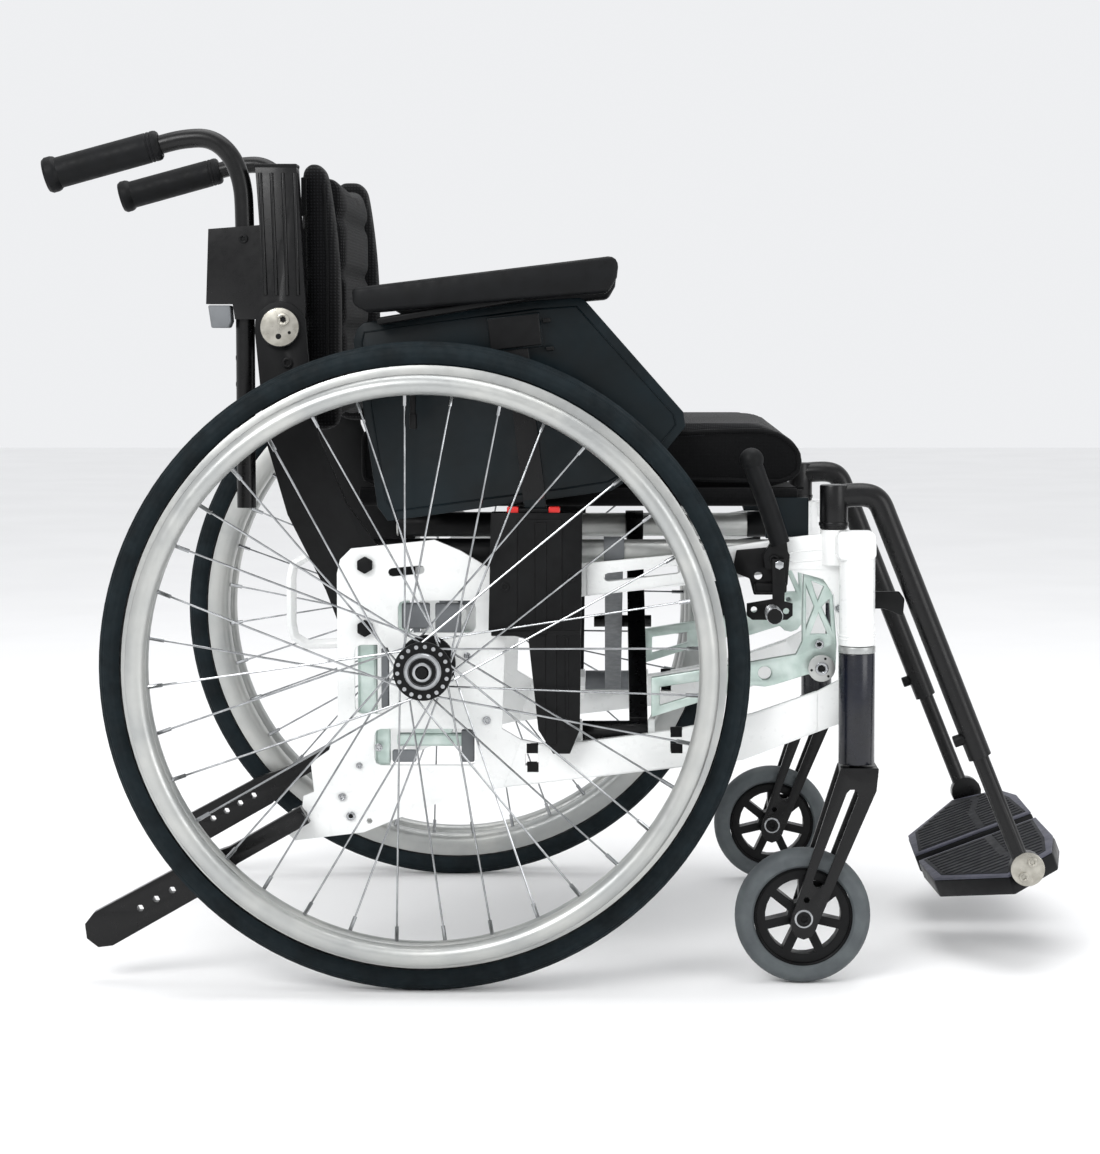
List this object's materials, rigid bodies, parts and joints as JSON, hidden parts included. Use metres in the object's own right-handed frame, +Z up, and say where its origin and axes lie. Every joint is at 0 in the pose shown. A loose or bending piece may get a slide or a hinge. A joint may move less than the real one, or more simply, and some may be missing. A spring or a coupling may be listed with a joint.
{
  "type": "manual wheelchair",
  "caption": "Folding manual wheelchair with self-propelling rear wheels, casters, swing-away footrests, armrests, reclining back and anti-tippers.",
  "frame": {"origin": "middle of the chair on the floor", "axes": "+X forward, +Y to the rider's left, +Z up"},
  "size_m": [0.9595, 0.638, 0.7843],
  "materials": {
    "white_powder_coat": "semi-gloss",
    "black_powder_coat": "satin",
    "navy_anodised": "satin",
    "mint_cast_aluminium": "satin",
    "silver_anodised": "satin",
    "stainless_steel": "polished",
    "grey_painted_metal": "matt",
    "tyre_rubber": "matt",
    "caster_rubber": "matt",
    "grip_rubber": "matt",
    "black_nylon": "matt",
    "dark_panel_plastic": "satin",
    "red_plastic": "gloss",
    "black_fabric": "woven",
    "footplate_nylon": "matt"
  },
  "bodies": {
    "frame_right": {"side_frame_right": "white_powder_coat", "lattice_bracket_right": "mint_cast_aluminium", "back_bracket_right": "black_powder_coat", "caster_housing_right": "navy_anodised", "brake_body_right": "black_nylon", "armrest_socket_right": "black_nylon"},
    "wheel_right": {"rear_tyre_right": "tyre_rubber", "rear_rim_right": "silver_anodised", "wheel_hub_right": "stainless_steel", "push_rim_right": "silver_anodised"},
    "caster_fork_right": {"caster_fork_right": "black_powder_coat"},
    "caster_wheel_right": {"caster_tyre_right": "caster_rubber", "caster_rim_right": "black_nylon"},
    "brake_lever_right": {"brake_lever_right": "black_powder_coat"},
    "brake_shoe_right": {"brake_shoe_right": "stainless_steel"},
    "hanger_right": {"hanger_right": "black_powder_coat"},
    "hanger_release_right": {"hanger_release_right": "black_nylon"},
    "armrest_release_right": {"armrest_release_right": "red_plastic"},
    "handle_clamp_right": {"handle_clamp_right": "grey_painted_metal"},
    "anti_tipper_right": {"anti_tipper_right": "black_powder_coat"},
    "cross_arm_right": {"cross_arm_right": "black_powder_coat"},
    "footrest_right": {"footrest_tube_right": "black_powder_coat"},
    "footplate_right": {"footplate_right": "footplate_nylon"},
    "armrest_right": {"armrest_pad_right": "grip_rubber", "side_panel_right": "dark_panel_plastic"},
    "back_right": {"back_cane_right": "black_powder_coat", "back_upholstery": "black_fabric"},
    "handle_right": {"handle_tube_right": "black_powder_coat", "handle_grip_right": "grip_rubber"},
    "seat_rail_right": {"seat_rail_right": "silver_anodised", "seat_cushion": "black_fabric"},
    "frame_left": {"side_frame_left": "white_powder_coat", "lattice_bracket_left": "mint_cast_aluminium", "back_bracket_left": "black_powder_coat", "caster_housing_left": "navy_anodised", "brake_body_left": "black_nylon", "armrest_socket_left": "black_nylon"},
    "wheel_left": {"rear_tyre_left": "tyre_rubber", "rear_rim_left": "silver_anodised", "wheel_hub_left": "stainless_steel", "push_rim_left": "silver_anodised"},
    "caster_fork_left": {"caster_fork_left": "black_powder_coat"},
    "caster_wheel_left": {"caster_tyre_left": "caster_rubber", "caster_rim_left": "black_nylon"},
    "brake_lever_left": {"brake_lever_left": "black_powder_coat"},
    "brake_shoe_left": {"brake_shoe_left": "stainless_steel"},
    "hanger_left": {"hanger_left": "black_powder_coat"},
    "hanger_release_left": {"hanger_release_left": "black_nylon"},
    "armrest_release_left": {"armrest_release_left": "red_plastic"},
    "handle_clamp_left": {"handle_clamp_left": "grey_painted_metal"},
    "anti_tipper_left": {"anti_tipper_left": "black_powder_coat"},
    "cross_arm_left": {"cross_arm_left": "grey_painted_metal"},
    "footrest_left": {"footrest_tube_left": "black_powder_coat"},
    "footplate_left": {"footplate_left": "footplate_nylon"},
    "armrest_left": {"armrest_pad_left": "grip_rubber", "side_panel_left": "dark_panel_plastic"},
    "back_left": {"back_cane_left": "black_powder_coat"},
    "handle_left": {"handle_tube_left": "black_powder_coat", "handle_grip_left": "grip_rubber"},
    "seat_rail_left": {"seat_rail_left": "silver_anodised"}
  },
  "joints": [
    {"name": "fold", "type": "hinge", "parent": "frame_right", "child": "cross_arm_right", "pos_m": [0.0723, -0.195, 0.225], "axis": [1, 0, 0], "range_deg": [0, 45], "deforming": ["seat_cushion", "back_upholstery"]},
    {"name": "cross_pivot", "type": "hinge", "parent": "cross_arm_right", "child": "cross_arm_left", "pos_m": [0.0608, 0, 0.309], "axis": [1, 0, 0], "range_deg": [-90, 0]},
    {"name": "left_frame_pivot", "type": "hinge", "parent": "cross_arm_left", "child": "frame_left", "pos_m": [0.0493, 0.195, 0.225], "axis": [1, 0, 0], "range_deg": [0, 45]},
    {"name": "left_rail_pivot", "type": "hinge", "parent": "cross_arm_right", "child": "seat_rail_left", "pos_m": [0.0723, 0.195, 0.393], "axis": [1, 0, 0], "range_deg": [-45, 0]},
    {"name": "right_rail_pivot", "type": "hinge", "parent": "cross_arm_left", "child": "seat_rail_right", "pos_m": [0.0493, -0.195, 0.393], "axis": [1, 0, 0], "range_deg": [0, 45]},
    {"name": "wheel_spin_right", "type": "hinge", "parent": "frame_right", "child": "wheel_right", "pos_m": [-0.1222, -0.275, 0.295], "axis": [0, 1, 0], "continuous": true},
    {"name": "caster_swivel_right", "type": "hinge", "parent": "frame_right", "child": "caster_fork_right", "pos_m": [0.2718, -0.243, 0.22], "axis": [0, 0, 1], "continuous": true},
    {"name": "caster_spin_right", "type": "hinge", "parent": "caster_fork_right", "child": "caster_wheel_right", "pos_m": [0.2228, -0.243, 0.0625], "axis": [0, 1, 0], "continuous": true},
    {"name": "brake_right", "type": "hinge", "parent": "frame_right", "child": "brake_lever_right", "pos_m": [0.1958, -0.24, 0.39], "axis": [0, 1, 0], "range_deg": [0, 40]},
    {"name": "brake_shoe_swing_right", "type": "hinge", "parent": "frame_right", "child": "brake_shoe_right", "pos_m": [0.1998, -0.242, 0.385], "axis": [0, 1, 0], "range_deg": [0, 25]},
    {"name": "hanger_swing_right", "type": "hinge", "parent": "frame_right", "child": "hanger_right", "pos_m": [0.2518, -0.222, 0.4375], "axis": [0, 0, 1], "range_deg": [-90, 0]},
    {"name": "hanger_release_lever_right", "type": "hinge", "parent": "frame_right", "child": "hanger_release_right", "pos_m": [0.2843, -0.219, 0.351], "axis": [0, 1, 0], "range_deg": [0, 18], "stiffness_Nm_per_rad": 0.6},
    {"name": "leg_length_right", "type": "slide", "parent": "hanger_right", "child": "footrest_right", "axis": [-0.3691, 0, 0.9294], "range_m": [0, 0.08]},
    {"name": "footplate_flip_right", "type": "hinge", "parent": "footrest_right", "child": "footplate_right", "pos_m": [0.4328, -0.205, 0.101], "axis": [0.9361, 0, 0.3518], "range_deg": [0, 90]},
    {"name": "armrest_height_right", "type": "slide", "parent": "frame_right", "child": "armrest_right", "axis": [-0.1149, 0, 0.9934], "range_m": [0, 0.08]},
    {"name": "armrest_button_right", "type": "slide", "parent": "frame_right", "child": "armrest_release_right", "axis": [0.1149, 0, -0.9934], "range_m": [0, 0.003], "stiffness_N_per_m": 400},
    {"name": "back_recline_right", "type": "hinge", "parent": "frame_right", "child": "back_right", "pos_m": [-0.2576, -0.2, 0.6027], "axis": [0, -1, 0], "range_deg": [0, 20]},
    {"name": "handle_height_right", "type": "slide", "parent": "back_right", "child": "handle_right", "axis": [0, 0, 1], "range_m": [0, 0.1]},
    {"name": "handle_clamp_lever_right", "type": "hinge", "parent": "back_right", "child": "handle_clamp_right", "pos_m": [-0.3227, -0.2, 0.6195], "axis": [0, 1, 0], "range_deg": [0, 60]},
    {"name": "anti_tipper_swing_right", "type": "hinge", "parent": "frame_right", "child": "anti_tipper_right", "pos_m": [-0.2402, -0.235, 0.152], "axis": [0, 1, 0], "range_deg": [0, 110]},
    {"name": "wheel_spin_left", "type": "hinge", "parent": "frame_left", "child": "wheel_left", "pos_m": [-0.1222, 0.275, 0.295], "axis": [0, 1, 0], "continuous": true},
    {"name": "caster_swivel_left", "type": "hinge", "parent": "frame_left", "child": "caster_fork_left", "pos_m": [0.2718, 0.243, 0.22], "axis": [0, 0, 1], "continuous": true},
    {"name": "caster_spin_left", "type": "hinge", "parent": "caster_fork_left", "child": "caster_wheel_left", "pos_m": [0.2228, 0.243, 0.0625], "axis": [0, 1, 0], "continuous": true},
    {"name": "brake_left", "type": "hinge", "parent": "frame_left", "child": "brake_lever_left", "pos_m": [0.1958, 0.24, 0.39], "axis": [0, 1, 0], "range_deg": [0, 40]},
    {"name": "brake_shoe_swing_left", "type": "hinge", "parent": "frame_left", "child": "brake_shoe_left", "pos_m": [0.1998, 0.242, 0.385], "axis": [0, 1, 0], "range_deg": [0, 25]},
    {"name": "hanger_swing_left", "type": "hinge", "parent": "frame_left", "child": "hanger_left", "pos_m": [0.2518, 0.222, 0.4375], "axis": [0, 0, -1], "range_deg": [-90, 0]},
    {"name": "hanger_release_lever_left", "type": "hinge", "parent": "frame_left", "child": "hanger_release_left", "pos_m": [0.2843, 0.219, 0.351], "axis": [0, 1, 0], "range_deg": [0, 18], "stiffness_Nm_per_rad": 0.6},
    {"name": "leg_length_left", "type": "slide", "parent": "hanger_left", "child": "footrest_left", "axis": [-0.3691, 0, 0.9294], "range_m": [0, 0.08]},
    {"name": "footplate_flip_left", "type": "hinge", "parent": "footrest_left", "child": "footplate_left", "pos_m": [0.4328, 0.205, 0.101], "axis": [-0.9361, 0, -0.3518], "range_deg": [0, 90]},
    {"name": "armrest_height_left", "type": "slide", "parent": "frame_left", "child": "armrest_left", "axis": [-0.1149, 0, 0.9934], "range_m": [0, 0.08]},
    {"name": "armrest_button_left", "type": "slide", "parent": "frame_left", "child": "armrest_release_left", "axis": [0.1149, 0, -0.9934], "range_m": [0, 0.003], "stiffness_N_per_m": 400},
    {"name": "back_recline_left", "type": "hinge", "parent": "frame_left", "child": "back_left", "pos_m": [-0.2576, 0.2, 0.6027], "axis": [0, -1, 0], "range_deg": [0, 20]},
    {"name": "handle_height_left", "type": "slide", "parent": "back_left", "child": "handle_left", "axis": [0, 0, 1], "range_m": [0, 0.1]},
    {"name": "handle_clamp_lever_left", "type": "hinge", "parent": "back_left", "child": "handle_clamp_left", "pos_m": [-0.3227, 0.2, 0.6195], "axis": [0, 1, 0], "range_deg": [0, 60]},
    {"name": "anti_tipper_swing_left", "type": "hinge", "parent": "frame_left", "child": "anti_tipper_left", "pos_m": [-0.2402, 0.235, 0.152], "axis": [0, 1, 0], "range_deg": [0, 110]}
  ],
  "couplings": [
    {"joint": "cross_pivot", "follows": "fold", "ratio": -2},
    {"joint": "left_frame_pivot", "follows": "fold", "ratio": 1},
    {"joint": "left_rail_pivot", "follows": "fold", "ratio": -1},
    {"joint": "right_rail_pivot", "follows": "fold", "ratio": 1},
    {"joint": "brake_shoe_swing_right", "follows": "brake_right", "ratio": 0.625},
    {"joint": "footplate_flip_right", "follows": "fold", "ratio": 2},
    {"joint": "brake_shoe_swing_left", "follows": "brake_left", "ratio": 0.625},
    {"joint": "footplate_flip_left", "follows": "fold", "ratio": 2},
    {"joint": "back_recline_left", "follows": "back_recline_right", "ratio": 1}
  ]
}
